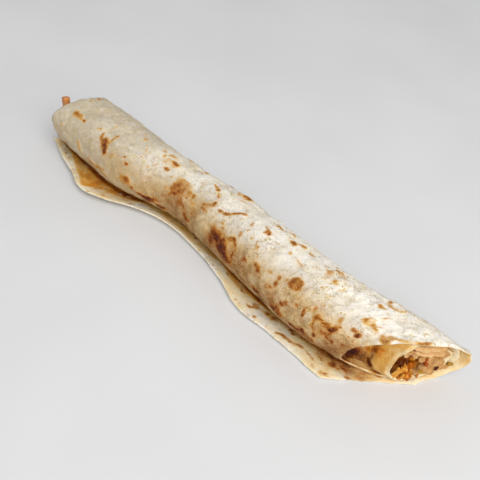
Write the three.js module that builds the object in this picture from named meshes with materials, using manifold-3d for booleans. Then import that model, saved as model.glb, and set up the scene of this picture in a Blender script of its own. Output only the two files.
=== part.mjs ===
// Lavash wrap: one thin flatbread sheet rolled round a sauced filling, lying on its own loose flap.
// Millimetres, +Z up. +X runs along the roll to the wide open end with the pocket, and -Y is the
// side where the loose flap of the sheet lies out. The origin is the middle of the footprint.
import * as THREE from "three";
import { mergeVertices } from "three/addons/utils/BufferGeometryUtils.js";
import Module from "manifold-3d";

const wasm = await Module();
wasm.setup();
const { lerp } = THREE.MathUtils;

// Sheet: its thickness, the air between layers, and the grid that its faces are cut into
const SHEET_THICK = 1.5;
const LAYER_GAP = 0.5;
const LAYER_PITCH = SHEET_THICK + LAYER_GAP;
const TURN_COLUMNS = 22;
const ROLLED_COLUMNS = 50;
const TURNS = ROLLED_COLUMNS / TURN_COLUMNS;
const FLAP_COLUMNS = 5;
const SHEET_ROWS = 32;
const ROW_CROWDING = 0.6;

// Roll: [position along the roll, value]
const AXIS_SIDEWAYS = [
  [-172, 3.3], [-129, 3.3], [-86, 2.6], [-43, 9.6], [0, 7.2], [43, 2.6], [86, -0.2], [129, 5.3], [172, 12.3],
];
const HALF_WIDTH = [
  [-172, 26.5], [-129, 27], [-86, 25.8], [-43, 21.2], [0, 23.1], [43, 24.7], [86, 26.5], [129, 26], [172, 25],
];
const HALF_HEIGHT = [
  [-172, 22], [-129, 22.5], [-86, 22], [-43, 20], [0, 22], [86, 23.5], [129, 22.5], [150, 21.3], [172, 19.6],
];
const FLAT_DEPTH = 1.6;
const FLAT_TURNS = 0.06;

// Flap: how far it reaches from the roll's axis, and how high its outer rim is lifted beyond its flat part
const FLAP_REACH = [
  [-172, 19], [-155, 25], [-130, 33.3], [-107, 40], [-89, 34.5], [-71, 27], [-46, 23], [-8, 22.5],
  [20, 26.5], [43, 32.5], [70, 29.5], [90, 29.5], [113, 33],
];
const FLAP_LIFT = [[-172, 3], [-130, 4], [-95, 4.5], [-45, 3.5], [10, 2.5], [60, 1.5], [110, 0.6]];
const FLAP_FLAT = 0.4;
const FLAP_FAR_END = -171.5;
const FLAP_NEAR_END = 113;

// Where the rolled sheet ends: [turns from the middle of the underside, position along the roll]
const FAR_END = [
  [0, -166], [0.25, -160], [0.36, -155], [0.455, -151.5], [0.516, -154.6], [0.56, -156.7], [0.61, -161.4],
  [0.67, -164.2], [0.7, -163.6], [0.73, -159.5], [0.78, -156.5], [0.88, -160], [1, -164], [1.25, -158],
  [1.5, -148], [1.62, -160], [1.7, -164.6], [1.74, -160.5], [1.8, -157], [2, -158], [TURNS, -150],
];
const NEAR_END = [
  [0, 155.5], [0.04, 158.5], [0.09, 163], [0.17, 169.5], [0.22, 172.3], [0.31, 172], [0.39, 170],
  [0.42, 165], [0.46, 160.6], [0.5, 155.8], [0.53, 150.4], [0.56, 143.5], [0.63, 129.5], [0.7, 119.5],
  [0.8, 115.5], [0.88, 117], [0.94, 138], [1, 149], [1.12, 160], [1.25, 166.5], [1.38, 160], [1.5, 149],
  [1.62, 144.5], [1.75, 141], [1.85, 141], [1.93, 147], [2, 152.5], [2.12, 160], [TURNS, 163],
];

// Pocket at the wide end, where the inner turn has drawn back from the outer one as an upright wall,
// with a deeper recess on the far side of a crease
const POCKET_START = 55;
const POCKET_FULL = 145;
const POCKET_WALL = -12;
const POCKET_NONE = -40;
const POCKET_ROUNDING = 3;
const POCKET_RECESS = 5;
const POCKET_CREASE = [134, 120];
const INNER_TURN_START = [0.95, 1.15];

// Filling: a bar through the whole roll with slanted ends, and lumps on both end faces
const FILLING_GAP = 0.6;
const FILLING_INSET = LAYER_PITCH * TURNS + SHEET_THICK / 2 + FILLING_GAP;
const FILLING_SIDES = 24;
const FILLING_ROWS = 26;
const FILLING_REACH = 175;
const FILLING_FAR_END = [[0, -157], [0.25, -150], [0.5, -142], [0.75, -156], [1, -157]];
const FILLING_NEAR_END = [
  [0, 152], [0.12, 157], [0.25, 158], [0.38, 150], [0.5, 139], [0.75, 138], [0.9, 147], [1, 152],
];
const FAR_LUMP_SEED = 3;
const NEAR_LUMP_SEED = 40;
const LUMP_COUNT = 9;
const LUMP_SIZE = [5.2, 7.4];
const LUMP_STRETCH = [1.3, 1.1, 1];
const LUMP_CORNERS = [0.86, 1.16];
const LUMP_SPREAD = 0.62;
const GOLDEN_TURN = 0.382;
const GOLDEN_SHARE = 0.618;

// Orange stick, rooted in the filling, whose tip stands out over the far rim
const STICK_ROOT = [-156, -10, 15];
const STICK_TIP = [-166.5, -5.5, 40.5];
const STICK_WIDTH = 5;
const STICK_STEPS = 7;
const STICK_ROUGHNESS = 0.5;
const STICK_SEAT = 0.5;

// Seeded draw
const DRAW_STEP = 12.9898;
const DRAW_SEED_STEP = 78.233;

const FINISH = {
  lavash: { color: 0xe6dac4, roughness: 0.85 },
  filling: { color: 0xb97a3c, roughness: 0.55 },
  orange_stick: { color: 0xc8642d, roughness: 0.45 },
};

function smoothStep(start, end, value) {
  const t = THREE.MathUtils.clamp((value - start) / (end - start), 0, 1);
  return t * t * (3 - 2 * t);
}

// A number between -1 and 1 that depends only on the index and the seed.
function draw(index, seed) {
  return Math.sin(DRAW_STEP * (index + 1) + DRAW_SEED_STEP * seed);
}

// A smooth curve through [position, value] pairs, level beyond its ends.
function through(pairs) {
  const last = pairs.length - 1;
  const slopes = pairs.map((_, i) => {
    if (i === 0 || i === last) return 0;
    return (pairs[i + 1][1] - pairs[i - 1][1]) / (pairs[i + 1][0] - pairs[i - 1][0]);
  });
  return (position) => {
    if (position <= pairs[0][0]) return pairs[0][1];
    if (position >= pairs[last][0]) return pairs[last][1];
    const next = pairs.findIndex((pair) => position <= pair[0]);
    const [start, from] = pairs[next - 1];
    const [end, to] = pairs[next];
    const span = end - start;
    const t = (position - start) / span;
    const leaving = t * (1 - t) * (1 - t) * span * slopes[next - 1];
    const arriving = t * t * (t - 1) * span * slopes[next];
    return lerp(from, to, t * t * (3 - 2 * t)) + leaving + arriving;
  };
}

const axisSideways = through(AXIS_SIDEWAYS);
const halfWidth = through(HALF_WIDTH);
const halfHeight = through(HALF_HEIGHT);
const flapReach = through(FLAP_REACH);
const flapLift = through(FLAP_LIFT);
const farEnd = through(FAR_END);
const nearEnd = through(NEAR_END);
const fillingFarEnd = through(FILLING_FAR_END);
const fillingNearEnd = through(FILLING_NEAR_END);

// A sideways place on the inner turn, held back by the pocket's upright wall. Each layer has its own wall.
function behindWall(x, sideways, inset) {
  const open = smoothStep(POCKET_START, POCKET_FULL, x);
  const recess = POCKET_RECESS * open * smoothStep(...POCKET_CREASE, x);
  const wall = lerp(POCKET_NONE, POCKET_WALL, open) + recess + inset;
  return wall + POCKET_ROUNDING * Math.log1p(Math.exp((sideways - wall) / POCKET_ROUNDING));
}

// A point of the roll's section: turns run from the underside to the back, over the top and down the front.
function sectionPoint(x, turns, inset, inside) {
  const angle = 2 * Math.PI * turns;
  const height = halfHeight(x);
  const round = (halfWidth(x) - inset) * Math.sin(angle);
  const sideways = lerp(round, behindWall(x, round, inset), inside);
  const rise = height - FLAT_DEPTH - (height - inset) * Math.cos(angle);
  return new THREE.Vector3(x, axisSideways(x) + sideways, Math.max(rise, SHEET_THICK / 2 + inset));
}

// The sheet winds inwards from the end of its flat underside.
function rolledPoint(turns, x) {
  const inset = LAYER_PITCH * Math.max(turns - FLAT_TURNS, 0);
  return sectionPoint(x, turns, inset, smoothStep(...INNER_TURN_START, turns));
}

function flapPoint(out, x) {
  const bend = Math.max(out - FLAP_FLAT, 0) / (1 - FLAP_FLAT);
  const rise = SHEET_THICK / 2 + flapLift(x) * bend * bend;
  return new THREE.Vector3(x, axisSideways(x) - out * flapReach(x), rise);
}

// The sheet's columns, from the flap's rim to the inner end of the roll.
function sheetColumns() {
  const columns = [];
  for (let i = 0; i < FLAP_COLUMNS; i++) {
    const out = 1 - i / FLAP_COLUMNS;
    columns.push({
      far: lerp(farEnd(0), FLAP_FAR_END, out),
      near: lerp(nearEnd(0), FLAP_NEAR_END, out),
      at: (x) => flapPoint(out, x),
    });
  }
  for (let i = 0; i <= ROLLED_COLUMNS; i++) {
    const turns = i / TURN_COLUMNS;
    columns.push({ far: farEnd(turns), near: nearEnd(turns), at: (x) => rolledPoint(turns, x) });
  }
  return columns;
}

// Rows stand closer together towards both ends, where the shape changes fastest.
function rowShare(row, rows) {
  const even = row / (rows - 1);
  return lerp(even, (1 - Math.cos(Math.PI * even)) / 2, ROW_CROWDING);
}

// The way out of the sheet at a grid point, from the points around it.
function outward(grid, i, j) {
  const before = grid[Math.max(i - 1, 0)][j];
  const after = grid[Math.min(i + 1, grid.length - 1)][j];
  const row = grid[i];
  const along = row[Math.min(j + 1, row.length - 1)].clone().sub(row[Math.max(j - 1, 0)]);
  return after.clone().sub(before).cross(along).normalize();
}

// Two faces, half a thickness to either side of a grid of middle points, closed round the rim.
function sheetGeometry() {
  const grid = sheetColumns().map((column) =>
    Array.from({ length: SHEET_ROWS }, (_, row) =>
      column.at(lerp(column.far, column.near, rowShare(row, SHEET_ROWS)))));
  const positions = [];
  for (const side of [1, -1]) {
    grid.forEach((column, i) => column.forEach((point, j) => {
      const moved = point.clone().addScaledVector(outward(grid, i, j), side * SHEET_THICK / 2);
      positions.push(...moved.toArray());
    }));
  }
  const outer = (i, j) => i * SHEET_ROWS + j;
  const inner = (i, j) => (grid.length + i) * SHEET_ROWS + j;
  const index = [];
  const quad = (a, b, c, d) => index.push(a, b, c, a, c, d);
  const lastColumn = grid.length - 1;
  const lastRow = SHEET_ROWS - 1;
  for (let i = 0; i < lastColumn; i++) {
    for (let j = 0; j < lastRow; j++) {
      quad(outer(i, j), outer(i + 1, j), outer(i + 1, j + 1), outer(i, j + 1));
      quad(inner(i, j), inner(i, j + 1), inner(i + 1, j + 1), inner(i + 1, j));
    }
    quad(outer(i + 1, 0), outer(i, 0), inner(i, 0), inner(i + 1, 0));
    quad(outer(i, lastRow), outer(i + 1, lastRow), inner(i + 1, lastRow), inner(i, lastRow));
  }
  for (let j = 0; j < lastRow; j++) {
    quad(outer(0, j), outer(0, j + 1), inner(0, j + 1), inner(0, j));
    quad(outer(lastColumn, j + 1), outer(lastColumn, j), inner(lastColumn, j), inner(lastColumn, j + 1));
  }
  return indexedGeometry(positions, index);
}

function indexedGeometry(positions, index) {
  const geometry = new THREE.BufferGeometry();
  geometry.setAttribute("position", new THREE.Float32BufferAttribute(positions, 3));
  geometry.setIndex(index);
  return geometry;
}

// A solid bar of the filling's section between two slanted ends.
function fillingBar(farAt, nearAt) {
  const positions = [];
  const index = [];
  for (let j = 0; j < FILLING_ROWS; j++) {
    for (let i = 0; i < FILLING_SIDES; i++) {
      const turns = i / FILLING_SIDES;
      const x = lerp(farAt(turns), nearAt(turns), rowShare(j, FILLING_ROWS));
      positions.push(...sectionPoint(x, turns, FILLING_INSET, 1).toArray());
    }
  }
  const at = (i, j) => j * FILLING_SIDES + (i % FILLING_SIDES);
  for (let j = 0; j < FILLING_ROWS - 1; j++) {
    for (let i = 0; i < FILLING_SIDES; i++) {
      index.push(at(i, j), at(i + 1, j), at(i + 1, j + 1), at(i, j), at(i + 1, j + 1), at(i, j + 1));
    }
  }
  for (const row of [0, FILLING_ROWS - 1]) {
    const centre = new THREE.Vector3();
    for (let i = 0; i < FILLING_SIDES; i++) {
      centre.add(new THREE.Vector3().fromArray(positions, 3 * at(i, row)).divideScalar(FILLING_SIDES));
    }
    const middle = positions.length / 3;
    positions.push(...centre.toArray());
    for (let i = 0; i < FILLING_SIDES; i++) {
      const edge = row === 0 ? [at(i + 1, row), at(i, row)] : [at(i, row), at(i + 1, row)];
      index.push(middle, ...edge);
    }
  }
  return indexedGeometry(positions, index);
}

// A rough chopped lump: a low sphere with its corners pushed in and out.
function lumpGeometry(size, centre, seed) {
  const geometry = weld(new THREE.IcosahedronGeometry(0.5, 1));
  const position = geometry.getAttribute("position");
  const corner = new THREE.Vector3();
  for (let i = 0; i < position.count; i++) {
    corner.fromBufferAttribute(position, i).multiplyScalar(lerp(...LUMP_CORNERS, Math.abs(draw(i, seed))));
    position.setXYZ(i, ...corner.toArray());
  }
  geometry.scale(...LUMP_STRETCH.map((stretch) => stretch * size));
  geometry.translate(...centre.toArray());
  return geometry;
}

// Lumps spread over one end face of the filling by a golden-angle rule.
function endLumps(endAt, seed) {
  return Array.from({ length: LUMP_COUNT }, (_, k) => {
    const turns = (k * GOLDEN_TURN) % 1;
    const across = (turns + 0.5) % 1;
    const rim = sectionPoint(endAt(turns), turns, FILLING_INSET, 1);
    const facing = sectionPoint(endAt(across), across, FILLING_INSET, 1);
    const out = LUMP_SPREAD * Math.sqrt((k + 0.5) / LUMP_COUNT);
    const centre = rim.clone().add(facing).multiplyScalar(0.5).lerp(rim, out);
    return lumpGeometry(lerp(...LUMP_SIZE, (k * GOLDEN_SHARE) % 1), centre, seed + k);
  });
}

function weld(geometry) {
  const bare = geometry.clone();
  bare.deleteAttribute("normal");
  bare.deleteAttribute("uv");
  return mergeVertices(bare);
}

function solidOf(geometry) {
  const welded = weld(geometry);
  return new wasm.Manifold(new wasm.Mesh({
    numProp: 3,
    vertProperties: welded.getAttribute("position").array,
    triVerts: new Uint32Array(welded.index.array),
  }));
}

function geometryOf(solid) {
  const { vertProperties, triVerts } = solid.getMesh();
  return indexedGeometry(Array.from(vertProperties), Array.from(triVerts));
}

// The main body of a solid, without scraps that a cut has left loose.
function largestBody(solid) {
  return solid.decompose().sort((a, b) => b.volume() - a.volume())[0];
}

// A roughly square cut stick from its root to its tip.
function stickGeometry(width) {
  const root = new THREE.Vector3(...STICK_ROOT);
  const tip = new THREE.Vector3(...STICK_TIP);
  const length = root.distanceTo(tip) + width - STICK_WIDTH;
  const geometry = weld(new THREE.BoxGeometry(length, width, width, STICK_STEPS, 2, 2));
  const position = geometry.getAttribute("position");
  const corner = new THREE.Vector3();
  for (let i = 0; i < position.count; i++) {
    const nudge = new THREE.Vector3(draw(i, 1), draw(i, 2), draw(i, 3));
    corner.fromBufferAttribute(position, i).addScaledVector(nudge, STICK_ROUGHNESS);
    position.setXYZ(i, ...corner.toArray());
  }
  const towardsRoot = root.clone().sub(tip).normalize();
  const turn = new THREE.Quaternion().setFromUnitVectors(new THREE.Vector3(1, 0, 0), towardsRoot);
  geometry.applyQuaternion(turn);
  geometry.translate(...root.add(tip).multiplyScalar(0.5).toArray());
  return geometry;
}

// The bar with its lumps, kept inside the roll, and a seat cut for the stick.
function fillingGeometry() {
  const envelope = solidOf(fillingBar(() => -FILLING_REACH, () => FILLING_REACH));
  let filling = solidOf(fillingBar(fillingFarEnd, fillingNearEnd));
  const lumps = [...endLumps(fillingFarEnd, FAR_LUMP_SEED), ...endLumps(fillingNearEnd, NEAR_LUMP_SEED)];
  for (const lump of lumps) {
    filling = filling.add(solidOf(lump).intersect(envelope));
  }
  const seat = solidOf(stickGeometry(STICK_WIDTH + 2 * STICK_SEAT));
  return geometryOf(largestBody(filling.subtract(seat)));
}

function namedMesh(name, geometry) {
  const material = new THREE.MeshStandardMaterial({ ...FINISH[name], metalness: 0 });
  const mesh = new THREE.Mesh(geometry, material);
  mesh.name = name;
  return mesh;
}

const wrap = new THREE.Group();
wrap.add(namedMesh("lavash", sheetGeometry()));
wrap.add(namedMesh("filling", fillingGeometry()));
wrap.add(namedMesh("orange_stick", stickGeometry(STICK_WIDTH)));

export default wrap;
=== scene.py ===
import math
from collections import namedtuple

import bmesh
import bpy
import numpy as np
from mathutils import Matrix, Vector


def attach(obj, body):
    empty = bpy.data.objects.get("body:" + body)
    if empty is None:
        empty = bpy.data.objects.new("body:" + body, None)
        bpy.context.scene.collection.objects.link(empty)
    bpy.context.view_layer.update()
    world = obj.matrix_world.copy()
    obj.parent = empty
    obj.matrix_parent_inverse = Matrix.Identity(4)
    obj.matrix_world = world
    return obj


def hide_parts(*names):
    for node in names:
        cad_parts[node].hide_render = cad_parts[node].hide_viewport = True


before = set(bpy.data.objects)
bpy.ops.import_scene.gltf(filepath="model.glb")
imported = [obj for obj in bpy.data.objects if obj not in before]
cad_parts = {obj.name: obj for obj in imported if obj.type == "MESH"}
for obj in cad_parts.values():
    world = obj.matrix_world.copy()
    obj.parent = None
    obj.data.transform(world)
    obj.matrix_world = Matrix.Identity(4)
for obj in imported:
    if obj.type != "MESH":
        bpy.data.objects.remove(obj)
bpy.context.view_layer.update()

MM = 0.001
BODY = "root"


def through(pairs):
    """A smooth curve through (position, value) pairs, level beyond its ends."""
    at, value = np.array(pairs, float).T
    slope = np.zeros_like(value)
    slope[1:-1] = (value[2:] - value[:-2]) / (at[2:] - at[:-2])

    def curve(position):
        position = np.clip(position, at[0], at[-1])
        after = np.clip(np.searchsorted(at, position), 1, len(at) - 1)
        before = after - 1
        span = at[after] - at[before]
        t = (position - at[before]) / span
        level = value[before] + (value[after] - value[before]) * t * t * (3 - 2 * t)
        leaving = t * (1 - t) ** 2 * span * slope[before]
        arriving = t * t * (t - 1) * span * slope[after]
        return level + leaving + arriving

    return curve


# Sizes in millimetres, as in the part's source, but with a sharper crease in the pocket
SHEET_THICK = 1.5
LAYER_PITCH = 2
TURNS = 50 / 22
axis_sideways = through([
    (-172, 3.3), (-129, 3.3), (-86, 2.6), (-43, 9.6), (0, 7.2), (43, 2.6), (86, -0.2), (129, 5.3),
    (172, 12.3),
])
half_width = through([
    (-172, 26.5), (-129, 27), (-86, 25.8), (-43, 21.2), (0, 23.1), (43, 24.7), (86, 26.5), (129, 26),
    (172, 25),
])
half_height = through([
    (-172, 22), (-129, 22.5), (-86, 22), (-43, 20), (0, 22), (86, 23.5), (129, 22.5), (150, 21.3),
    (172, 19.6),
])
FLAT_DEPTH = 1.6
FLAT_TURNS = 0.06
flap_reach = through([
    (-172, 19), (-155, 25), (-130, 33.3), (-107, 40), (-89, 34.5), (-71, 27), (-46, 23), (-8, 22.5),
    (20, 26.5), (43, 32.5), (70, 29.5), (90, 29.5), (113, 33),
])
flap_lift = through([(-172, 3), (-130, 4), (-95, 4.5), (-45, 3.5), (10, 2.5), (60, 1.5), (110, 0.6)])
FLAP_FLAT = 0.4
FLAP_FAR_END = -171.5
FLAP_NEAR_END = 113
far_end = through([
    (0, -166), (0.25, -160), (0.36, -155), (0.455, -151.5), (0.516, -154.6), (0.56, -156.7),
    (0.61, -161.4), (0.67, -164.2), (0.7, -163.6), (0.73, -159.5), (0.78, -156.5), (0.88, -160),
    (1, -164), (1.25, -158), (1.5, -148), (1.62, -160), (1.7, -164.6), (1.74, -160.5), (1.8, -157),
    (2, -158), (TURNS, -150),
])
near_end = through([
    (0, 155.5), (0.04, 158.5), (0.09, 163), (0.17, 169.5), (0.22, 172.3), (0.31, 172), (0.39, 170),
    (0.42, 165), (0.46, 160.6), (0.5, 155.8), (0.53, 150.4), (0.56, 143.5), (0.63, 129.5),
    (0.7, 119.5), (0.8, 115.5), (0.88, 117), (0.94, 138), (1, 149), (1.12, 160), (1.25, 166.5),
    (1.38, 160), (1.5, 149), (1.62, 144.5), (1.75, 141), (1.85, 141), (1.93, 147), (2, 152.5),
    (2.12, 160), (TURNS, 163),
])
POCKET_START = 55
POCKET_FULL = 145
POCKET_WALL = -12
POCKET_NONE = -40
POCKET_ROUNDING = 3
POCKET_RECESS = 5
POCKET_CREASE = (131, 125)
INNER_TURN_START = (0.95, 1.15)
FILLING_INSET = 5.9
filling_far_end = through([(0, -157), (0.25, -150), (0.5, -142), (0.75, -156), (1, -157)])
filling_near_end = through([
    (0, 152), (0.12, 157), (0.25, 158), (0.38, 150), (0.5, 139), (0.75, 138), (0.9, 147), (1, 152),
])
STICK_ROOT = np.array([-156, -10, 15])
STICK_TIP = np.array([-166.5, -5.5, 40.5])
STICK_WIDTH = 5

# Fine grid of the sheet: columns by stretches of turns across it, and rows along the roll
FLAP_COLUMNS = 34
TURN_STRETCHES = [(0, 0.34, 34), (0.34, 0.88, 76), (0.88, 1.04, 16)]
INNER_START = 1.04
INNER_COLUMNS = 70
SHEET_ROWS = 300
ROW_CROWDING = 0.35
TURN_LENGTH = 146
FLAP_LENGTH = 30

# Camera, in millimetres and photo pixels
CAMERA_PLACE = (180, -242.8, 301.3)
CAMERA_RIGHT = (0.73047, 0.66665, 0.14834)
CAMERA_UP = (-0.54789, 0.44233, 0.71004)
CAMERA_FORWARD = (-0.40774, 0.59994, -0.68835)
FOCAL_PIXELS = 605
PHOTO_PIXELS = 480
SENSOR = 36

NOISE_CELLS = 48


def fade(start, end, value):
    """A share that passes smoothly from none at start to one at end."""
    t = np.clip((value - start) / (end - start), 0, 1)
    return t * t * (3 - 2 * t)


def within(value, start, full, fading, end):
    """A share that rises from start to full and falls again from fading to end."""
    return fade(start, full, value) * fade(end, fading, value)


def kept(value, lost, start, full):
    """What is left of a whole that loses a share of itself from start to full."""
    return 1 - lost * fade(start, full, value)


def mound(value, middle, spread):
    """A share that is one at the middle and falls away on both sides."""
    return np.exp(-((value - middle) / spread) ** 2)


def noise(points, size, seed):
    """Smooth noise between -1 and 1 whose features are about size millimetres wide."""
    table = np.random.default_rng(seed).uniform(-1, 1, (NOISE_CELLS,) * 3)
    cell = points / size
    low = np.floor(cell).astype(int)
    mix = cell - low
    mix = mix * mix * (3 - 2 * mix)
    total = np.zeros(points.shape[:-1])
    for corner in np.ndindex(2, 2, 2):
        weight = np.prod(np.where(corner, mix, 1 - mix), axis=-1)
        index = (low + corner) % NOISE_CELLS
        total += weight * table[index[..., 0], index[..., 1], index[..., 2]]
    return total


def layered(points, layers):
    """Noise in layers: height, size, seed and, where drawn out, its fineness along each axis."""
    total = np.zeros(points.shape[:-1])
    for height, size, seed, *fineness in layers:
        total += height * noise(points * (fineness or 1), size, seed)
    return total


def behind_wall(x, sideways, inset):
    """A sideways place on the inner turn, held back by the pocket's upright wall."""
    opening = fade(POCKET_START, POCKET_FULL, x)
    recess = POCKET_RECESS * opening * fade(*POCKET_CREASE, x)
    wall = POCKET_NONE + (POCKET_WALL - POCKET_NONE) * opening + recess + inset
    return wall + POCKET_ROUNDING * np.log1p(np.exp((sideways - wall) / POCKET_ROUNDING))


def section_point(x, turns, inset, inside):
    """A point of the roll's section, by the turns from the underside."""
    angle = 2 * np.pi * turns
    height = half_height(x)
    around = (half_width(x) - inset) * np.sin(angle)
    sideways = around + (behind_wall(x, around, inset) - around) * inside
    rise = height - FLAT_DEPTH - (height - inset) * np.cos(angle)
    return np.stack([x, axis_sideways(x) + sideways, np.maximum(rise, SHEET_THICK / 2 + inset)], -1)


def rolled_point(x, turns):
    inset = LAYER_PITCH * np.maximum(turns - FLAT_TURNS, 0)
    return section_point(x, turns, inset, fade(*INNER_TURN_START, turns))


def flap_point(x, out):
    bend = np.maximum(out - FLAP_FLAT, 0) / (1 - FLAP_FLAT)
    rise = SHEET_THICK / 2 + flap_lift(x) * bend * bend
    return np.stack([x, axis_sideways(x) - out * flap_reach(x), rise], -1)


# Browned places on the outer face, with turns in thousandths and darkness in hundredths. Turns run
# from the underside over the back and top to the front, and lean, in degrees, from the axis to the front.
Spot = namedtuple("Spot", "along turns length width dark lean kind", defaults=[0, "blister"])
MAIN_SPOTS = [
    (-141, 595, 12, 6, 50), (-146, 592, 5.5, 5, 56), (-134.5, 600, 5, 3.5, 59, 20),
    (-151.5, 680, 3.5, 6, 28), (-136.5, 667, 2.5, 6, 25), (-147.8, 450, 6, 3.5, 54),
    (-107.5, 622, 9, 9.5, 74, 30), (-103.5, 645, 12, 7, 84, 38), (-112, 612, 6, 5, 52),
    (-103, 575, 10, 2.8, 56, -80), (-94.5, 650, 3, 7, 27), (-86, 617, 2.5, 2.2, 68),
    (-82.7, 642, 5, 4, 58), (-79.5, 726, 13, 11, 46, 20), (-77.5, 714, 4, 4.5, 67),
    (-73.5, 751, 3.5, 4.5, 76), (-86.7, 479, 5, 3.5, 47), (-128, 727, 14, 5, 34, 45),
    (-107, 763, 34, 6, 46, 6), (-70, 475, 7, 3, 45, 30), (-67, 500, 4.5, 6, 47),
    (-62.7, 474, 8, 3.5, 44), (-56, 511, 9, 3.5, 66, 12), (-57.6, 566, 5, 4, 61),
    (-60, 522, 17, 13, 24), (-55, 400, 8, 3, 42), (-49, 451, 4, 3, 32), (-37.5, 612, 25, 17, 28),
    (-37.5, 612, 23, 16, 24, 0, "speckle"), (-43, 625, 5, 13, 36, 10), (-42, 657, 4.5, 8, 50, 60),
    (-26, 614, 3.5, 7, 45, 40), (-39, 567, 8, 2, 40), (-32, 690, 30, 22, 40, 0, "speckle"),
    (-28.8, 513, 4.5, 4, 46, 0, "ring"), (-20, 488, 8, 3.9, 44, 14), (-16.5, 501, 7, 5.9, 64, 60),
    (-12, 530, 8, 3.2, 45, 43), (-15.8, 611, 3, 2.5, 68), (-13.7, 627, 7, 4, 49),
    (-9.1, 574, 4.5, 5.9, 60), (-12, 594, 11, 5.2, 35, -30), (-2.5, 585, 7, 3.6, 62, 6),
    (3, 575, 9, 3.4, 64, -30), (8.5, 544, 10, 3.1, 64, -40), (13, 522, 7, 3.1, 44, -25),
    (-37.5, 426, 6, 5, 46), (-27, 726, 4, 4, 70), (-24, 746, 10, 7, 58, 30), (5, 623, 5, 2.5, 38),
    (6.8, 639, 4, 2, 42), (0, 420, 14, 8, 70, 0, "speckle"), (2.5, 472, 15, 2.3, 42, -8),
    (3.8, 703, 13, 16, 70, 20), (14.3, 710, 14, 17, 74, 20), (9.5, 708, 20, 9, 50, 24),
    (20, 753, 14, 9, 56, 10), (2, 740, 8, 9, 50), (17, 642, 6, 2, 63), (20.5, 652, 11, 2.2, 65, 50),
    (23.6, 712, 13, 2.2, 68, 82), (16.5, 657, 7, 4, 47), (35, 520, 7.5, 5.5, 52),
    (36.2, 522, 2, 2, 70), (30.7, 502, 5, 2, 44, 20), (51.7, 478, 9, 5.5, 78),
    (56.4, 455, 9, 3, 60, -25), (37, 447, 8, 2.5, 49, 15), (45.9, 432, 8, 2, 41),
    (22, 532, 3, 5, 44), (23.3, 567, 2.5, 2.5, 49), (21, 607, 4, 6, 44), (34, 581, 2.5, 2.5, 38),
    (36.7, 600, 3, 4, 43), (41, 632, 2.5, 3, 38), (33.9, 679, 6, 5, 54, 20),
    (43.3, 661, 5.5, 4.5, 61), (45.4, 674, 4.5, 4.5, 50), (49.2, 694, 3.5, 3, 43),
    (57.7, 696, 8, 8, 28), (53.6, 640, 6, 4, 32), (61.1, 662, 4.5, 5, 72), (61.4, 631, 4.5, 5, 43),
    (72, 609, 9.4, 7.4, 46), (72, 609, 9.8, 7.8, 60, 0, "ring"), (70.1, 713, 5, 4.5, 86),
    (73, 695, 5.5, 4.5, 49), (65, 530, 9, 3.5, 42, 10), (50.5, 765, 12, 4.2, 90),
    (70, 760, 12, 9, 60, 20), (66, 775, 5, 8, 62), (83, 780, 14, 4.2, 90), (89.5, 764, 6, 5, 80),
    (96, 775, 10, 4, 55), (-61, 772, 22, 8, 86), (-50, 790, 16, 6, 80), (64.7, 455, 6, 4.5, 47),
    (87, 480, 16, 12, 22, 0, "ring"), (77.4, 468, 3.5, 3, 41), (84.5, 450, 9, 2.6, 42, 30),
    (88.6, 507, 3, 2.5, 43), (81.5, 487, 7, 6, 20), (90, 512, 9, 2.5, 34, 10),
    (86, 562, 2.5, 2.5, 47), (87.6, 550, 3, 2.5, 41), (85.2, 684, 9.5, 2.8, 70, 87),
    (79.4, 672, 6, 3, 38), (98.8, 692, 15, 16, 62, 0, "arch"), (105, 667, 5, 7, 70, 20),
    (97.3, 739, 4.5, 4, 67), (101.9, 702, 5, 3, 45), (104.3, 717, 3, 3, 47),
    (107.8, 721, 3.5, 2.5, 49), (114, 705, 3.5, 3.2, 59), (115, 627, 6, 3.6, 56),
    (118.7, 638, 4.4, 3.6, 88), (116.6, 571, 5, 4.5, 46), (120, 568, 7, 6, 32, 0, "ring"),
    (123, 582, 8, 2.6, 49, 35), (105.8, 621, 5, 7, 32), (118, 490, 6.5, 4.5, 50),
    (125, 430, 13, 10, 38, 0, "ring"), (124.5, 525, 7, 2.2, 42, -40), (131.5, 595, 9, 7, 50, 30),
    (138, 573, 14, 4, 36, -15), (148.6, 529, 11, 3.4, 62, -36),
]

# Dark places on the pocket's wall, further round the sheet: brown, and painted shadow under the outer
# turn's edge, in the crease and at the wall's foot
WALL_BROWN_AND_SHADOW_SPOTS = [
    (118, 1805, 9, 15, 66), (116.5, 1860, 7, 18, 90), (128.5, 1800, 2.5, 14, 62),
    (129, 1855, 7, 11, 100), (132, 1885, 12, 4.5, 90, 8),
]

# Golden sauce on the pocket's wall, about the crease, and streaks down to the right of it
WALL_STAINS = [
    (122.5, 1768, 12, 10, 58), (128, 1745, 7, 14, 74), (132, 1695, 6, 9, 60, 30),
    (136.5, 1720, 2, 22, 50, 10), (141, 1720, 1.6, 26, 42, 12),
]

# Browned places on the inner face, on the pocket's floor and under the rim of the near end, with painted
# shadow under the outer turn's edge and at the wall's foot
LINING_SCORCH_AND_SHADOW_SPOTS = [
    (115.5, 925, 9, 17, 95), (122, 920, 12, 8, 30), (125, 935, 14, 5, 30, 10),
    (136, 945, 16, 4, 80, 8), (126, 900, 12, 8, 30), (158, 460, 16, 4, 50, -35),
]

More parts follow.
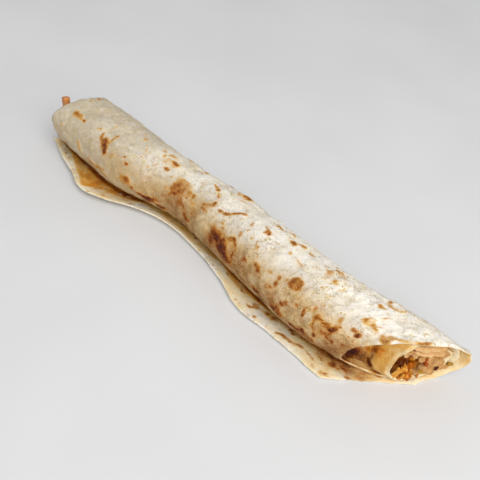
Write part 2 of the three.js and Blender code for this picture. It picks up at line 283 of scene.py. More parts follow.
# Browned places on the flap's upper face, with thousandths of its reach in place of turns
FLAP_SPOTS = [
    (81, 815, 18, 3, 52, -7), (99, 780, 16, 2, 40, 10), (63, 620, 13, 7, 66),
    (80, 560, 12, 4, 70, 10), (75.5, 860, 10, 4, 40, -10), (86.2, 785, 18, 3, 46, -6),
    (51.5, 710, 12, 3, 40, -20), (35.3, 600, 16, 3.5, 45), (111.5, 614, 10, 5, 45),
    (119.6, 573, 6, 1.7, 60, 15), (112, 900, 12, 3.5, 36), (104.4, 660, 6, 1.7, 60, 15),
    (124.6, 686, 6, 2.5, 48), (137.4, 285, 6, 2.5, 52), (51.2, 640, 9, 4, 42), (19, 680, 5, 3, 34),
    (-131, 600, 10, 2, 50, -10), (118, 550, 10, 3, 34, 30),
]

# Small seeded places: seed, count, and the ranges of their turns, length and darkness
OUTER_SCATTERS = [
    (41, 260, (380, 820), (1.4, 3.4), (16, 45)),
    (42, 34, (30, 390), (5, 15), (35, 90)),
    (43, 130, (30, 390), (1.4, 3.4), (25, 70)),
]
FLAP_SCATTER = (44, 60, (550, 1000), (1.6, 4.5), (22, 55))
SCATTER_REACH = 162
SCATTER_SLIMNESS = (0.5, 1)


def scatter_spots(seed, count, turns, length, dark):
    """Seeded small browned places, spread evenly over a band of the sheet."""
    draw = np.random.default_rng(seed)
    spots = []
    for _ in range(count):
        size = draw.uniform(*length)
        along = draw.uniform(-SCATTER_REACH, SCATTER_REACH)
        around = draw.uniform(*turns)
        width = size * draw.uniform(*SCATTER_SLIMNESS)
        lean = draw.uniform(0, 180)
        spots.append((along, around, size, width, draw.uniform(*dark), lean))
    return spots


HALF_SIZE = 0.43
EDGE_WARP = 0.34
HALO_REACH = 1.8
HALO_SHARE = 0.34


def spot_fields(spots, along, share, unit, warp, grain):
    """How browned and how raised the places are, 0 to 1. Unit is the length of one turn or share."""
    bare = np.ones_like(along)
    raised = np.zeros_like(along)
    for spot in (Spot(*row) for row in spots):
        half_long, half_wide = HALF_SIZE * spot.length, HALF_SIZE * spot.width
        size = math.sqrt(half_long * half_wide)
        reach = HALO_REACH * max(half_long, half_wide) + size
        sideways = (share - spot.turns / 1000) * unit
        near = (np.abs(along - spot.along) < reach) & (np.abs(sideways) < reach)
        if not near.any():
            continue
        lean = math.radians(spot.lean)
        da = along[near] - spot.along + EDGE_WARP * size * warp[0][near]
        db = sideways[near] + EDGE_WARP * size * warp[1][near]
        lengthways = (da * math.cos(lean) + db * math.sin(lean)) / half_long
        crossways = (-da * math.sin(lean) + db * math.cos(lean)) / half_wide
        distance = np.hypot(lengthways, crossways)
        broken = 0.85 + 0.4 * grain[near]
        if spot.kind in ("ring", "arch"):
            mark = mound(distance, 0.85, 0.2) * broken
            if spot.kind == "arch":
                mark *= fade(0.75, 0.15, crossways)
        elif spot.kind == "speckle":
            mark = fade(1.2, 0.4, distance) * fade(-0.1, 0.45, grain[near])
        else:
            mark = fade(1.08, 0.5, distance) * broken
        halo = HALO_SHARE * fade(HALO_REACH, 0.8, distance) * (0.7 + 0.7 * grain[near])
        bare[near] *= 1 - spot.dark / 100 * np.clip(np.maximum(mark, halo), 0, 1)
        dome = fade(1.3, 0.5, distance) * min(size / 5, 1)
        raised[near] = np.maximum(raised[near], dome)
    return 1 - bare, raised


def rows_between(far, near, rows):
    """Places along the roll from one end to the other, closer together towards both."""
    even = np.linspace(0, 1, rows)
    share = even + ((1 - np.cos(np.pi * even)) / 2 - even) * ROW_CROWDING
    return far[:, None] + (near - far)[:, None] * share


def flat_place(x, y=0):
    return np.stack(np.broadcast_arrays(x, y, 0), -1)


# Ragged rims, as layers of noise in millimetres, and for the flap as shares of its reach
FAR_RAGGED = [(0.7, 9, 11), (0.35, 3, 12)]
NEAR_RAGGED = [(0.7, 9, 13), (0.35, 3, 14)]
FLAP_RAGGED = [(0.014, 13, 15), (0.007, 4, 16)]


def sheet_grid():
    """Places on the sheet: across is minus the flap's share, or the turns, and x runs along the roll."""
    stretches = [np.linspace(*stretch, endpoint=False) for stretch in TURN_STRETCHES]
    across = np.concatenate([
        -np.linspace(1, 0, FLAP_COLUMNS, endpoint=False),
        *stretches,
        np.linspace(INNER_START, TURNS, INNER_COLUMNS),
    ])
    out = np.maximum(-across, 0)
    turns = np.maximum(across, 0)
    edge = flat_place(across * TURN_LENGTH)
    far = far_end(turns) + out * (FLAP_FAR_END - far_end(0)) + layered(edge, FAR_RAGGED)
    near = near_end(turns) + out * (FLAP_NEAR_END - near_end(0)) + layered(edge, NEAR_RAGGED)
    x = rows_between(far, near, SHEET_ROWS)
    return np.broadcast_to(across[:, None], x.shape), x


def sheet_outward(middle):
    """The way out of the sheet at each point of its grid."""
    normal = np.cross(np.gradient(middle, axis=0), np.gradient(middle, axis=1))
    return normal / np.linalg.norm(normal, axis=-1, keepdims=True)


# Swellings of the roll above its underside
SWELLING = [(0.6, 38, 21), (0.45, 10, 22, 0.4, 1, 1)]


def sheet_middle(across, x):
    """The middle of the sheet, with a waved and ragged flap, and swellings that all the layers share."""
    out = np.maximum(-across, 0) * (1 + layered(flat_place(x), FLAP_RAGGED))
    turns = np.maximum(across, 0)
    middle = np.where((across < 0)[..., None], flap_point(x, out), rolled_point(x, turns))
    swell = layered(middle, SWELLING) * fade(0, 10, middle[..., 2])
    bump = 1.8 * mound(x, 1, 9) * mound(turns, 0.4, 7 / TURN_LENGTH)
    wave = 0.5 * noise(middle, 16, 23) * fade(0.5, 0.9, out)
    lift = np.where(across < 0, -np.abs(wave), swell + bump)
    return middle + sheet_outward(middle) * lift[..., None], out


# Turns from which the sheet is the inner turn, and where along the roll its seam ends
INNER_TURN = (1.05, 1.2)
SEAM_END = (124, 115)


def pocket_recess(x, turns):
    """How far within the shaded recess at the pocket's back a place on the wall is."""
    return fade(129, 123, x) * within(turns, 1.76, 1.82, 1.94, 2)


# How far out on the flap the dark of the seam and the golden stain of the sauce reach
seam_dark = through([
    (-172, 14), (-147, 17), (-129, 19.5), (-112, 20.5), (-95, 19.6), (-79, 17.4), (-68, 13),
    (-50, 11.5), (-30, 12.8), (-8, 13.2), (5, 13.6), (15, 15.2), (34, 16.2), (55, 16.2), (75, 15),
    (100, 14.5), (118, 13),
])
seam_gold = through([
    (-172, 15), (-160, 16.5), (-147, 20), (-130, 28), (-119, 33.5), (-110, 36.6), (-104, 30),
    (-98, 26.5), (-93, 24.5), (-85, 21.5), (-76, 18.6), (-66, 16), (-55, 17.4), (-45, 18.8),
    (-30, 19.6), (-15, 19.4), (5, 17), (15, 17), (22, 19), (34, 20.6), (48, 18.2), (60, 17.6),
    (80, 17.2), (113, 16),
])

# Sauce: its level, and how much blotches and grain change it
PLAIN_SAUCE = (0.085, 0.05, 0.05)
GOLD_SAUCE = (0.43, 0.1, 0.1)
LINING_SAUCE = (0.3, 0.12, 0.08)
WALL_SAUCE = (0.36, 0.12, 0.1)
SEAM_SAUCE = 0.36
SAUCE_EDGE = [(1.1, 7, 37), (0.6, 4, 39)]

# How much less sauce there is in places
# Less gold at the waist is painted light, standing in for light under the roll's belly
WAIST_LIGHTENING = 0.16
OUTER_LINING_LESS = 0.08
LIP_LESS = 0.65
FLOOR_LESS = 0.6
RECESS_LESS = 0.8


def sheet_stain(across, turns, out, x, flat, rim):
    """How sauced the sheet's outer and inner faces are."""
    blotch = noise(flat, 11, 38)
    grain = noise(flat, 4, 39)

    def sauce(level, by_blotch, by_grain):
        return level + by_blotch * blotch + by_grain * grain

    off_axis = out * flap_reach(x) + layered(flat, SAUCE_EDGE)
    dark = fade(1.4, -1.4, off_axis - seam_dark(x)) * fade(*SEAM_END, x)
    gold = fade(2, -2, off_axis - seam_gold(x)) * kept(x, 0.7, 115, 124)
    # Lighter gold at the waist: painted light where the roll shades the flap
    gold *= sauce(*GOLD_SAUCE) - WAIST_LIGHTENING * mound(x, -15, 45)
    on_flap = np.maximum(gold + SEAM_SAUCE * dark, sauce(*PLAIN_SAUCE))

    lip = fade(1, 1.1, turns) * fade(15, 4, rim)
    back_lip = 0.65 * fade(0.27, 0.2, turns) * fade(16, 5, rim)
    floor_rim = within(turns, 0.82, 0.86, 0.98, 1.02) * fade(5, 2, rim)
    lining = sauce(*LINING_SAUCE) - OUTER_LINING_LESS * fade(1, 0.85, turns)
    lining *= (1 - LIP_LESS * np.maximum(lip, back_lip)) * (1 - FLOOR_LESS * floor_rim)

    wall = fade(*INNER_TURN, turns) * sauce(*WALL_SAUCE)
    wall *= kept(rim, 0.5, 3.4, 1.8) * kept(x, 0.22, 130, 136)
    wall *= 1 - RECESS_LESS * pocket_recess(x, turns)
    return np.stack([wall, np.where(across < 0, on_flap, lining)])


# Soaked bread and painted shade: its level, and how much patches change it
FRONT_SOAK_AND_SHADE = (0.57, 0.34)
RECESS_SHADE = (0.84, 0.3)
FAR_SHADE = (0.12, 0.12)
BESIDE_SHADE = (0.12, 0.5)
NEAR_FLAP_SOAK_AND_SHADE = (0.8, 0.6)
SOAK_AND_SHADE_PATCH = [(0.45, 9, 55), (0.3, 3.5, 56)]

# Darker patches on the roll's front: place along it, turns, strength
FRONT_DARK_PATCHES = [(-36, 0.7, 0.08), (-92, 0.65, 0.14)]


def sheet_soak_and_shade(across, turns, out, x, flat):
    """How soaked and dark the bread is, soak and painted shade together: on the roll's front, in and by
    the seam, in the pocket, and towards the far end.
    """
    patch = layered(flat, SOAK_AND_SHADE_PATCH)

    def soak_and_shade(level, by_patch):
        return level + by_patch * patch

    # On the roll's front: tan soak, and painted shade greying it from the top down towards the seam
    front = within(turns, 0.5, 0.75, 0.9, 1) * soak_and_shade(*FRONT_SOAK_AND_SHADE) * kept(x, 0.65, -20, -110)
    front *= 1 - 0.7 * fade(100, 125, x) * fade(0.68, 0.58, turns)
    for along, share, gain in FRONT_DARK_PATCHES:
        front += gain * mound(x, along, 24) * mound(turns, share, 0.07)
    # By the seam: painted shadow of the crevice between roll and flap, browned like sauce
    seam = fade(0.765, 0.855, turns + 0.04 * patch) * fade(0.96, 0.9, turns)
    outer = np.maximum.reduce([
        front,
        0.95 * seam * fade(*SEAM_END, x),
        # Painted shade in the recess at the pocket's back
        pocket_recess(x, turns) * soak_and_shade(*RECESS_SHADE),
        0.15 * fade(*INNER_TURN, turns),
        # Painted shade towards the far end, where less light falls
        soak_and_shade(*FAR_SHADE) * fade(-40, -110, x) * fade(1, 0.9, turns),
    ])
    # Painted shade on the flap beside the golden stain, on its far part
    beside = fade(9, 2, out * flap_reach(x) - seam_gold(x)) * fade(0.2, 0.3, out)
    beside *= fade(-62, -80, x) * soak_and_shade(*BESIDE_SHADE)
    # On the flap by the pocket: tan soak, and painted shadow near the wall
    near_flap = soak_and_shade(*NEAR_FLAP_SOAK_AND_SHADE) * kept(x, 0.84, 113, 85) * within(x, 20, 60, 127, 142)
    near_flap *= fade(0.84, 0.48, out)
    return np.stack([outer, np.where(across < 0, np.maximum(beside, near_flap), 0)])


# Flour along the roll, less of it low on the front and on the inner turn, and pale rims inside, the
# flap's rim whitened as painted light
flour_along = through([
    (-172, 0.15), (-120, 0.2), (-60, 0.4), (0, 0.68), (50, 0.82), (90, 0.98), (130, 0.88), (172, 0.7),
])
LINING_FLOUR = 0.3


def sheet_flour_and_light(across, turns, x, flat, rim):
    """How white with flour the outer face is. The inner face is a little browner, but for its rims, and
    the flap's rim is whitened further as painted light.
    """
    outer = flour_along(x) * kept(turns, 0.55, 0.6, 0.76) + 0.2 * noise(flat, 17, 45)
    outer -= 0.4 * fade(1, 1.1, turns)
    roll_rim = 0.4 * fade(4, 1, rim)
    # On the flap, the rim's whiteness is painted light
    pale_rim = np.where(across < 0, fade(10, 2, rim), roll_rim)
    return np.stack([outer, LINING_FLOUR + (1 - LINING_FLOUR) * pale_rim])


# Noise that breaks up the spots' edges and insides
SPOT_WARPS = [[(1, 4.5, 31), (0.5, 1.9, 41)], [(1, 4.5, 32), (0.5, 1.9, 42)]]
SPOT_GRAIN = [(0.6, 2.4, 33), (0.5, 5, 34)]

# Relief of the outer turn, whose mean is taken off, and of the pocket's wall
BUMPS = [(1, 2.4, 35, 0.8, 1, 1), (0.6, 1.5, 36)]
WRINKLES = [(1, 13, 48, 0.6, 1, 1), (0.3, 4, 49)]
BLISTER_HEIGHT = 0.6
BUMP_HEIGHT = 0.15
CRUST_HEIGHT = 0.45
CRINKLE_HEIGHT = 0.7
WRINKLE_HEIGHT = 1.1
STREAK_HEIGHT = 0.9
RELIEF_MEAN = 1.34

# Painted light and shade of the relief, highlight on flakes and ridges and shade between them: its
# middle, and what changes it
RELIEF_SHADING_MIDDLE = 0.5
RELIEF_SHADING_FLAKES = 0.05
RELIEF_SHADING_CRUST = 0.12
RELIEF_SHADING_CRINKLE = 0.28
CRINKLE_MEAN = 0.62
RELIEF_SHADING_LINING = 0.14

# Thin rims, and the swollen lip of the near end
RIM_TAPER = 2.5
RIM_THIN = 0.62
NEAR_LIP = 0.45
LIP_WIDTH = 2.2


def lavash_mesh():
    """The sheet's outer and inner layers of points, and the fields that its material reads."""
    across, x = sheet_grid()
    middle, out = sheet_middle(across, x)
    outward = sheet_outward(middle)
    turns = np.maximum(across, 0)
    around = np.where(across < 0, across * FLAP_LENGTH, across * TURN_LENGTH)
    flat = flat_place(x, around)
    warp = [layered(flat, layers) for layers in SPOT_WARPS]
    grain = layered(flat, SPOT_GRAIN)

    # The wall's dark places add painted shadow to the browning
    spots = MAIN_SPOTS + WALL_BROWN_AND_SHADOW_SPOTS
    for scatter in OUTER_SCATTERS:
        spots += scatter_spots(*scatter)
    scorch_and_shadow_outer, raised = spot_fields(spots, x, across, TURN_LENGTH, warp, grain)
    flap_marks = FLAP_SPOTS + scatter_spots(*FLAP_SCATTER)
    scorch_flap, _ = spot_fields(flap_marks, x, -across, FLAP_LENGTH, warp, grain)
    scorch_and_shadow_lining, _ = spot_fields(LINING_SCORCH_AND_SHADOW_SPOTS, x, across, TURN_LENGTH, warp, grain)
    wall_stain, _ = spot_fields(WALL_STAINS, x, across, TURN_LENGTH, warp, grain)

    # Crinkles all over the outer turn, floury crust on the near half of its top, streaks down the wall
    crusty = fade(55, 95, x) * within(turns, 0.42, 0.5, 0.68, 0.75)
    bumps = layered(flat, BUMPS)
    flakes = fade(-0.1, 0.3, bumps)
    crinkle = 1 - np.abs(noise(flat * (0.7, 1, 1), 6.5, 46))
    wrinkle = 1 - np.abs(layered(flat, WRINKLES))
    # Painted highlight on the flakes and crinkle ridges, painted shade in the valleys between them
    relief_shading = RELIEF_SHADING_MIDDLE + (RELIEF_SHADING_FLAKES + RELIEF_SHADING_CRUST * crusty) * (2 * flakes - 1)
    relief_shading += RELIEF_SHADING_CRINKLE * (crinkle - CRINKLE_MEAN)
    relief = BLISTER_HEIGHT * raised + BUMP_HEIGHT * bumps + CRUST_HEIGHT * crusty * flakes
    relief += CRINKLE_HEIGHT * crinkle + WRINKLE_HEIGHT * wrinkle - RELIEF_MEAN
    relief *= within(turns, 0, 0.04, 0.9, 1)
    streaked = fade(112, 118, x) * within(turns, 1.58, 1.65, 1.88, 1.95)
    relief += STREAK_HEIGHT * streaked * np.maximum(noise(flat * (1, 0.2, 1), 2.6, 47), 0)

    to_near = x[:, -1:] - x
    to_side = np.where(across < 0, (1 + across) * FLAP_LENGTH, (TURNS - turns) * TURN_LENGTH)
    rim = np.minimum.reduce([x - x[:, :1], to_near, to_side])
    thick = SHEET_THICK * (RIM_THIN + (1 - RIM_THIN) * fade(0, RIM_TAPER, rim))
    thick *= 1 + NEAR_LIP * mound(to_near, LIP_WIDTH, LIP_WIDTH) * (across >= 0)
    # Tan fold where the near end's lip crosses the pocket's wall
    fold = 1.4 * mound(to_near, 0, 6) * mound(turns, 0.57, 0.05)
    middle = middle + outward * fold[..., None]
    layers = np.stack([
        middle + outward * (thick / 2 + relief)[..., None],
        middle - outward * (thick / 2)[..., None],
    ])
    layers[..., 2] = np.maximum(layers[..., 2], 0)
    stain_outer, stain_inner = sheet_stain(across, turns, out, x, flat, rim)
    return layers, {
        "scorch_and_shadow": np.stack([scorch_and_shadow_outer, np.maximum(scorch_flap, scorch_and_shadow_lining)]),
        "stain": np.stack([np.maximum(stain_outer, wall_stain), stain_inner]),
        "soak_and_shade": sheet_soak_and_shade(across, turns, out, x, flat),
        "flour_and_light": sheet_flour_and_light(across, turns, x, flat, rim),
        "relief_shading": np.stack([relief_shading, RELIEF_SHADING_MIDDLE + RELIEF_SHADING_LINING * bumps]),
    }


def grid_quads(columns, rows):
    """Corner numbers of the quads of a grid whose points are numbered column by column."""
    number = np.arange(columns * rows).reshape(columns, rows)
    corners = [number[:-1, :-1], number[1:, :-1], number[1:, 1:], number[:-1, 1:]]
    return np.stack(corners, -1).reshape(-1, 4)


def add_object(name, data):
    thing = bpy.data.objects.new(name, data)
    bpy.context.scene.collection.objects.link(thing)
    return thing


def make_piece(name, vertices, faces, material, node, fields=None):
    """A mesh object from points in millimetres, riding on the body in place of a CAD node."""
    mesh = bpy.data.meshes.new(name)
    mesh.from_pydata((np.asarray(vertices) * MM).tolist(), [], [list(map(int, face)) for face in faces])
    mesh.polygons.foreach_set("use_smooth", np.ones(len(mesh.polygons), bool))
    for field, values in (fields or {}).items():
        attribute = mesh.attributes.new(field, "FLOAT", "POINT")
        attribute.data.foreach_set("value", np.clip(values, 0, 1).astype(np.float32).ravel())
    mesh.materials.append(material)
    mesh.update()
    piece = add_object(name, mesh)
    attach(piece, BODY)
    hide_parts(node)
    return piece


def sheet_piece(name, layers, fields, material):
    """A closed piece of the sheet from its outer and inner layers of points."""
    _, columns, rows, _ = layers.shape
    face = grid_quads(columns, rows)
    count = columns * rows
    number = np.arange(count).reshape(columns, rows)
    loop = np.concatenate([number[:, 0], number[-1, 1:], number[-2::-1, -1], number[0, -2:0:-1]])
    after = np.roll(loop, -1)
    rim = np.stack([after, loop, loop + count, after + count], -1)
    faces = np.concatenate([face, face[:, ::-1] + count, rim])
    piece = make_piece(name, layers.reshape(-1, 3), faces, material, "lavash", fields)
    sheet_uv(piece.data, columns, rows, len(loop))


def build_lavash(material):
    """The flap and the outer turn as one piece, and the inner turn that runs on from it as another."""
    layers, fields = lavash_mesh()
    join = FLAP_COLUMNS + sum(count for _, _, count in TURN_STRETCHES)
    for name, columns in (("lavash_outer", slice(0, join + 1)), ("lavash_inner", slice(join, None))):
        part = {field: values[:, columns] for field, values in fields.items()}
        sheet_piece(name, layers[:, columns], part, material)


UV_MARGIN = 0.005
UV_HALF = 0.485
UV_HEIGHT = 0.97
UV_STRIP = (0.985, 0.998)


def sheet_uv(mesh, columns, rows, rim_faces):
    """A flat layout for baking: the outer face on the left, the inner on the right, the rim on top."""
    across, along = np.meshgrid(np.linspace(0, 1, columns), np.linspace(0, 1, rows), indexing="ij")
    corner = grid_quads(columns, rows)
    flat = np.stack([UV_MARGIN + UV_HALF * across.ravel(), UV_MARGIN + UV_HEIGHT * along.ravel()], -1)
    outer = flat[corner]
    inner = flat[corner[:, ::-1]] + (0.5, 0)
    step = np.linspace(UV_MARGIN, 1 - UV_MARGIN, rim_faces + 1)
    low, high = UV_STRIP
    corners = ((step[1:], high), (step[:-1], high), (step[:-1], low), (step[1:], low))
    rim = np.stack([np.stack([u, np.full_like(u, v)], -1) for u, v in corners], 1)
    layout = mesh.uv_layers.new(name="OFBake")
    layout.data.foreach_set("uv", np.concatenate([outer, inner, rim]).astype(np.float32).ravel())


def linear(red, green, blue):
    """A colour given as seen on a screen, 0 to 255, as the renderer's linear colour."""
    parts = np.array([red, green, blue]) / 255
    parts = np.where(parts <= 0.04045, parts / 12.92, ((parts + 0.055) / 1.055) ** 2.4)
    return (*parts.tolist(), 1)


class Shader:
    """A material being built from nodes."""

    def __init__(self, name, roughness, gloss=0.5):
        self.material = bpy.data.materials.new(name)
        self.material.use_nodes = True
        self.tree = self.material.node_tree
        self.surface = self.tree.nodes["Principled BSDF"]
        self.surface.inputs["Roughness"].default_value = roughness
        self.surface.inputs["Specular IOR Level"].default_value = gloss
        self.place = self.node("TexCoord", {}).outputs["Object"]

    def node(self, kind, inputs, **settings):
        """A new node with its settings, and its inputs, by name or number, as values or links."""
        node = self.tree.nodes.new("ShaderNode" + kind)
        for name, setting in settings.items():
            setattr(node, name, setting)
        for key, value in inputs.items():
            if isinstance(value, bpy.types.NodeSocket):
                self.tree.links.new(value, node.inputs[key])
            else:
                node.inputs[key].default_value = value
        return node

    def noise(self, size_mm, detail=3, rough=0.55):
        """Noise between 0 and 1 with features of about that size."""
        inputs = {"Vector": self.place, "Scale": 1 / (size_mm * MM), "Detail": detail, "Roughness": rough}
        return self.node("TexNoise", inputs).outputs["Fac"]

    def field(self, name):
        return self.node("Attribute", {}, attribute_name=name).outputs["Fac"]

    def math(self, operation, *values):
        return self.node("Math", dict(enumerate(values)), operation=operation).outputs["Value"]

    def band(self, value, low, high, start=0, end=1):
        """Value between low and high, smoothly mapped from start to end."""
        inputs = dict(enumerate((value, low, high, start, end)))
        return self.node("MapRange", inputs, interpolation_type="SMOOTHSTEP").outputs["Result"]

    def mix(self, share, first, second, blend="MIX"):
        inputs = {"Factor": share, "A": first, "B": second}
        return self.node("Mix", inputs, data_type="RGBA", blend_type=blend).outputs["Result"]

    def ramp(self, value, stops):
        """Colour by value, from (place, red, green, blue) stops."""
        node = self.node("ValToRGB", {"Fac": value})
        elements = node.color_ramp.elements
        while len(elements) < len(stops):
            elements.new(0.5)
        for element, (place, *colour) in zip(elements, stops):
            element.position = place
            element.color = linear(*colour)
        return node.outputs["Color"]

    def bump(self, height, distance_mm, strength):
        node = self.node("Bump", {"Height": height, "Distance": distance_mm * MM, "Strength": strength})
        self.tree.links.new(node.outputs["Normal"], self.surface.inputs["Normal"])

    def colour(self, value):
        self.tree.links.new(value, self.surface.inputs["Base Color"])
        return self.material


# Bread colours as seen under the studio light
BARE_BREAD = (204, 192, 168)
FLOURED_BREAD = (246, 239, 226)
# Painted shade in the relief's valleys and painted highlight on its peaks
VALLEY_SHADE = (192, 178, 150)
PEAK_HIGHLIGHT = (250, 245, 236)

# Patches and flecks: size in millimetres, where their noise starts and is full, share, colour
FLECKS = [
    (13, 0.5, 0.6, 0.55, (236, 222, 184)),
    (9, 0.5, 0.6, 0.5, (214, 196, 182)),
    (5.6, 0.54, 0.62, 0.6, (222, 200, 146)),
    (4.4, 0.55, 0.62, 0.55, (206, 192, 176)),
    (3.1, 0.56, 0.63, 0.8, (242, 236, 226)),
    (3.5, 0.6, 0.66, 0.6, (198, 184, 118)),
    (2.6, 0.57, 0.64, 0.75, (188, 154, 96)),
    (1.6, 0.58, 0.66, 0.75, (160, 140, 102)),
]

# Colours by strength: place on the ramp, red, green, blue
SAUCE_STAIN = [
    (0, 248, 240, 220), (0.08, 245, 229, 190), (0.18, 234, 200, 140), (0.35, 220, 166, 78),
    (0.55, 204, 122, 14), (0.75, 150, 76, 8), (1, 70, 28, 4),
]
# Its grey first stops are painted shade, its tan and brown ones soaked sauce
SOAK_AND_SHADE_TINT = [
    (0, 255, 255, 255), (0.1, 243, 240, 236), (0.2, 233, 225, 212), (0.4, 222, 197, 156),
    (0.7, 177, 130, 78), (1, 92, 46, 14),
]
# Browning colours, which also colour the painted shadow in the pocket
GOLDEN_SCORCH_AND_SHADOW = [
    (0, 232, 206, 158), (0.3, 214, 168, 94), (0.5, 178, 117, 46), (0.75, 124, 62, 20), (1, 72, 30, 8),
]
RUSSET_SCORCH_AND_SHADOW = [
    (0, 230, 206, 172), (0.3, 208, 160, 98), (0.5, 172, 109, 50), (0.75, 118, 58, 24), (1, 66, 26, 8),
]


def lavash_material():
    """Flat bread with flecks, sauce that soaked in along its folds, and browned blisters, with painted
    shade and highlights in its relief and painted shade where less light falls.
    """
    shader = Shader("lavash_bread", 0.8, 0.25)

    def centred(*settings):
        return shader.math("SUBTRACT", shader.noise(*settings), 0.5)

    # Flour, and the painted light of the flap's rim
    flour_and_light = shader.math("ADD", centred(3.2, 4, 0.62), shader.field("flour_and_light"))
    bread = shader.mix(shader.band(flour_and_light, 0.05, 0.95), linear(*BARE_BREAD), linear(*FLOURED_BREAD))
    # Painted shade and highlight that follow the relief
    relief_shading = shader.math("MULTIPLY_ADD", centred(1.6, 4, 0.65), 0.7, shader.field("relief_shading"))
    bread = shader.mix(shader.band(relief_shading, 0.42, 0.15, 0, 0.7), bread, linear(*VALLEY_SHADE))
    bread = shader.mix(shader.band(relief_shading, 0.58, 0.85, 0, 0.7), bread, linear(*PEAK_HIGHLIGHT))
    clump = shader.band(shader.noise(20, 2), 0.4, 0.6, 0.35, 1)
    clump = shader.math("MULTIPLY", clump, shader.band(shader.field("flour_and_light"), 0.2, 0.6, 0.55, 1))
    for size, low, high, share, colour in FLECKS:
        fleck = shader.band(shader.noise(size, 4, 0.6), low, high, 0, share)
        bread = shader.mix(shader.math("MULTIPLY", fleck, clump), bread, linear(*colour))

    fine = centred(1.2, 5, 0.7)

    def broken(field, change):
        """A field of the sheet, broken up by the fine noise."""
        change = shader.math("MULTIPLY_ADD", fine, change, 1)
        return shader.math("MULTIPLY", shader.field(field), change)

    stain = broken("stain", 0.9)
    bread = shader.mix(shader.band(stain, 0, 0.12), bread, shader.ramp(stain, SAUCE_STAIN))
    # Browning, with painted shadow in the pocket
    scorch_and_shadow = broken("scorch_and_shadow", 1.7)
    russet = shader.band(shader.noise(18, 2), 0.42, 0.58)
    brown = shader.mix(russet, shader.ramp(scorch_and_shadow, GOLDEN_SCORCH_AND_SHADOW), shader.ramp(scorch_and_shadow, RUSSET_SCORCH_AND_SHADOW))
    bread = shader.mix(shader.band(scorch_and_shadow, 0.03, 0.3), bread, brown)
    # Soaked sauce and painted shade darken the bread's colour
    soak_and_shade = broken("soak_and_shade", 1.2)
    bread = shader.mix(1, bread, shader.ramp(soak_and_shade, SOAK_AND_SHADE_TINT), "MULTIPLY")

    coarse = shader.math("MULTIPLY", shader.noise(2.6, 3), 1.5)
    shader.bump(shader.math("ADD", shader.noise(0.9, 3, 0.6), coarse), 0.6, 0.7)
    return shader.colour(bread)


def sauced_material(name, pale, deep, dark, roughness=0.42):
    """Uneven cooked food with sauce on it, from its pale, deep and darkest colours."""
    shader = Shader(name, roughness, 0.2)
    tone = shader.mix(shader.band(shader.noise(4, 4, 0.6), 0.35, 0.65), linear(*pale), linear(*deep))
    tone = shader.mix(shader.band(shader.noise(1.6, 4, 0.65), 0.56, 0.74), tone, linear(*dark))
    shader.bump(shader.noise(0.8, 4, 0.6), 0.3, 0.7)
    return shader.colour(tone)


# Filling's core: its grid, how far its skin sinks in, and how rough and drawn back its end faces are
CORE_SIDES = 72
CORE_ROWS = 150
CAP_RINGS = 16
SKIN_SINK = 0.9
CAP_NOISE = [(2, 5, 52), (1, 2.5, 53)]
NEAR_CAP_BACK = 1.5

# Shaded hollow in the near opening: its axis sideways and up, its reach, how deep the core and the
# shreds sink in it, and from which share on they take a painted shade
HOLLOW_AXIS = (4, 19.5)
HOLLOW_REACH = 9
CORE_HOLLOW = 13
SHRED_HOLLOW = 8
DARK_SHADE = 0.4


def hollow_share(points):
    """How far within the shaded hollow of the near opening places are."""
    return np.exp(-((points[..., 1:] - HOLLOW_AXIS) ** 2).sum(-1) / HOLLOW_REACH ** 2)


def closed_tube(rings, sides):
    """Faces of a tube whose points are numbered ring by ring, with a flat face at each end."""
    number = np.arange(rings * sides).reshape(rings, sides)
    after = np.roll(number, -1, axis=1)
    quads = np.stack([number[:-1], after[:-1], after[1:], number[1:]], -1).reshape(-1, 4)
    return quads.tolist() + [number[0, ::-1].tolist(), number[-1].tolist()]


def filling_core(material):
    """The filling's bar with rough ends, closed by rings that run in to the middle of each end face."""
    turns = np.linspace(0, 1, CORE_SIDES, endpoint=False)
    x = rows_between(filling_far_end(turns), filling_near_end(turns), CORE_ROWS)
    bar = section_point(x, np.broadcast_to(turns[:, None], x.shape), FILLING_INSET, 1)
    rings = [bar[:, row] for row in range(CORE_ROWS)]
    caps = []
    for rim in (rings[0], rings[-1]):
        centre = rim.mean(0)
        caps.append([rim + (centre - rim) * k / CAP_RINGS for k in range(1, CAP_RINGS)])
    order = caps[0][::-1] + rings + caps[1]
    points = np.concatenate(order)
    middle = np.stack([points[:, 0], axis_sideways(points[:, 0]), half_height(points[:, 0])], -1)
    inwards = middle - points
    inwards /= np.linalg.norm(inwards, axis=1, keepdims=True) + 1e-6
    sunk = np.maximum(SKIN_SINK + SKIN_SINK * noise(points, 6, 51), 0)
    points = points + inwards * sunk[:, None]
    cap_points = CORE_SIDES * (CAP_RINGS - 1)
    push = layered(points, CAP_NOISE)
    points[:cap_points, 0] -= push[:cap_points]
    hollow = CORE_HOLLOW * hollow_share(points[-cap_points:])
    points[-cap_points:, 0] += push[-cap_points:] - NEAR_CAP_BACK - hollow
    faces = closed_tube(len(order), CORE_SIDES)
    make_piece("filling_core", points, faces, material, "filling")


def heap_piece(name, bits, material):
    """One mesh of many small closed bits, each given by its points and faces."""
    faces = []
    count = 0
    for points, corners in bits:
        faces += [[corner + count for corner in face] for face in corners]
        count += len(points)
    points = np.concatenate([points for points, _ in bits])
    make_piece(name, points, faces, material, "filling")


def unit_way(way):
    return way / np.linalg.norm(way)


STRAND_SIDES = 16
STRAND_STEPS = 14
FIBRE_DEPTH = 0.16
STRAND_ROUGHNESS = 0.4


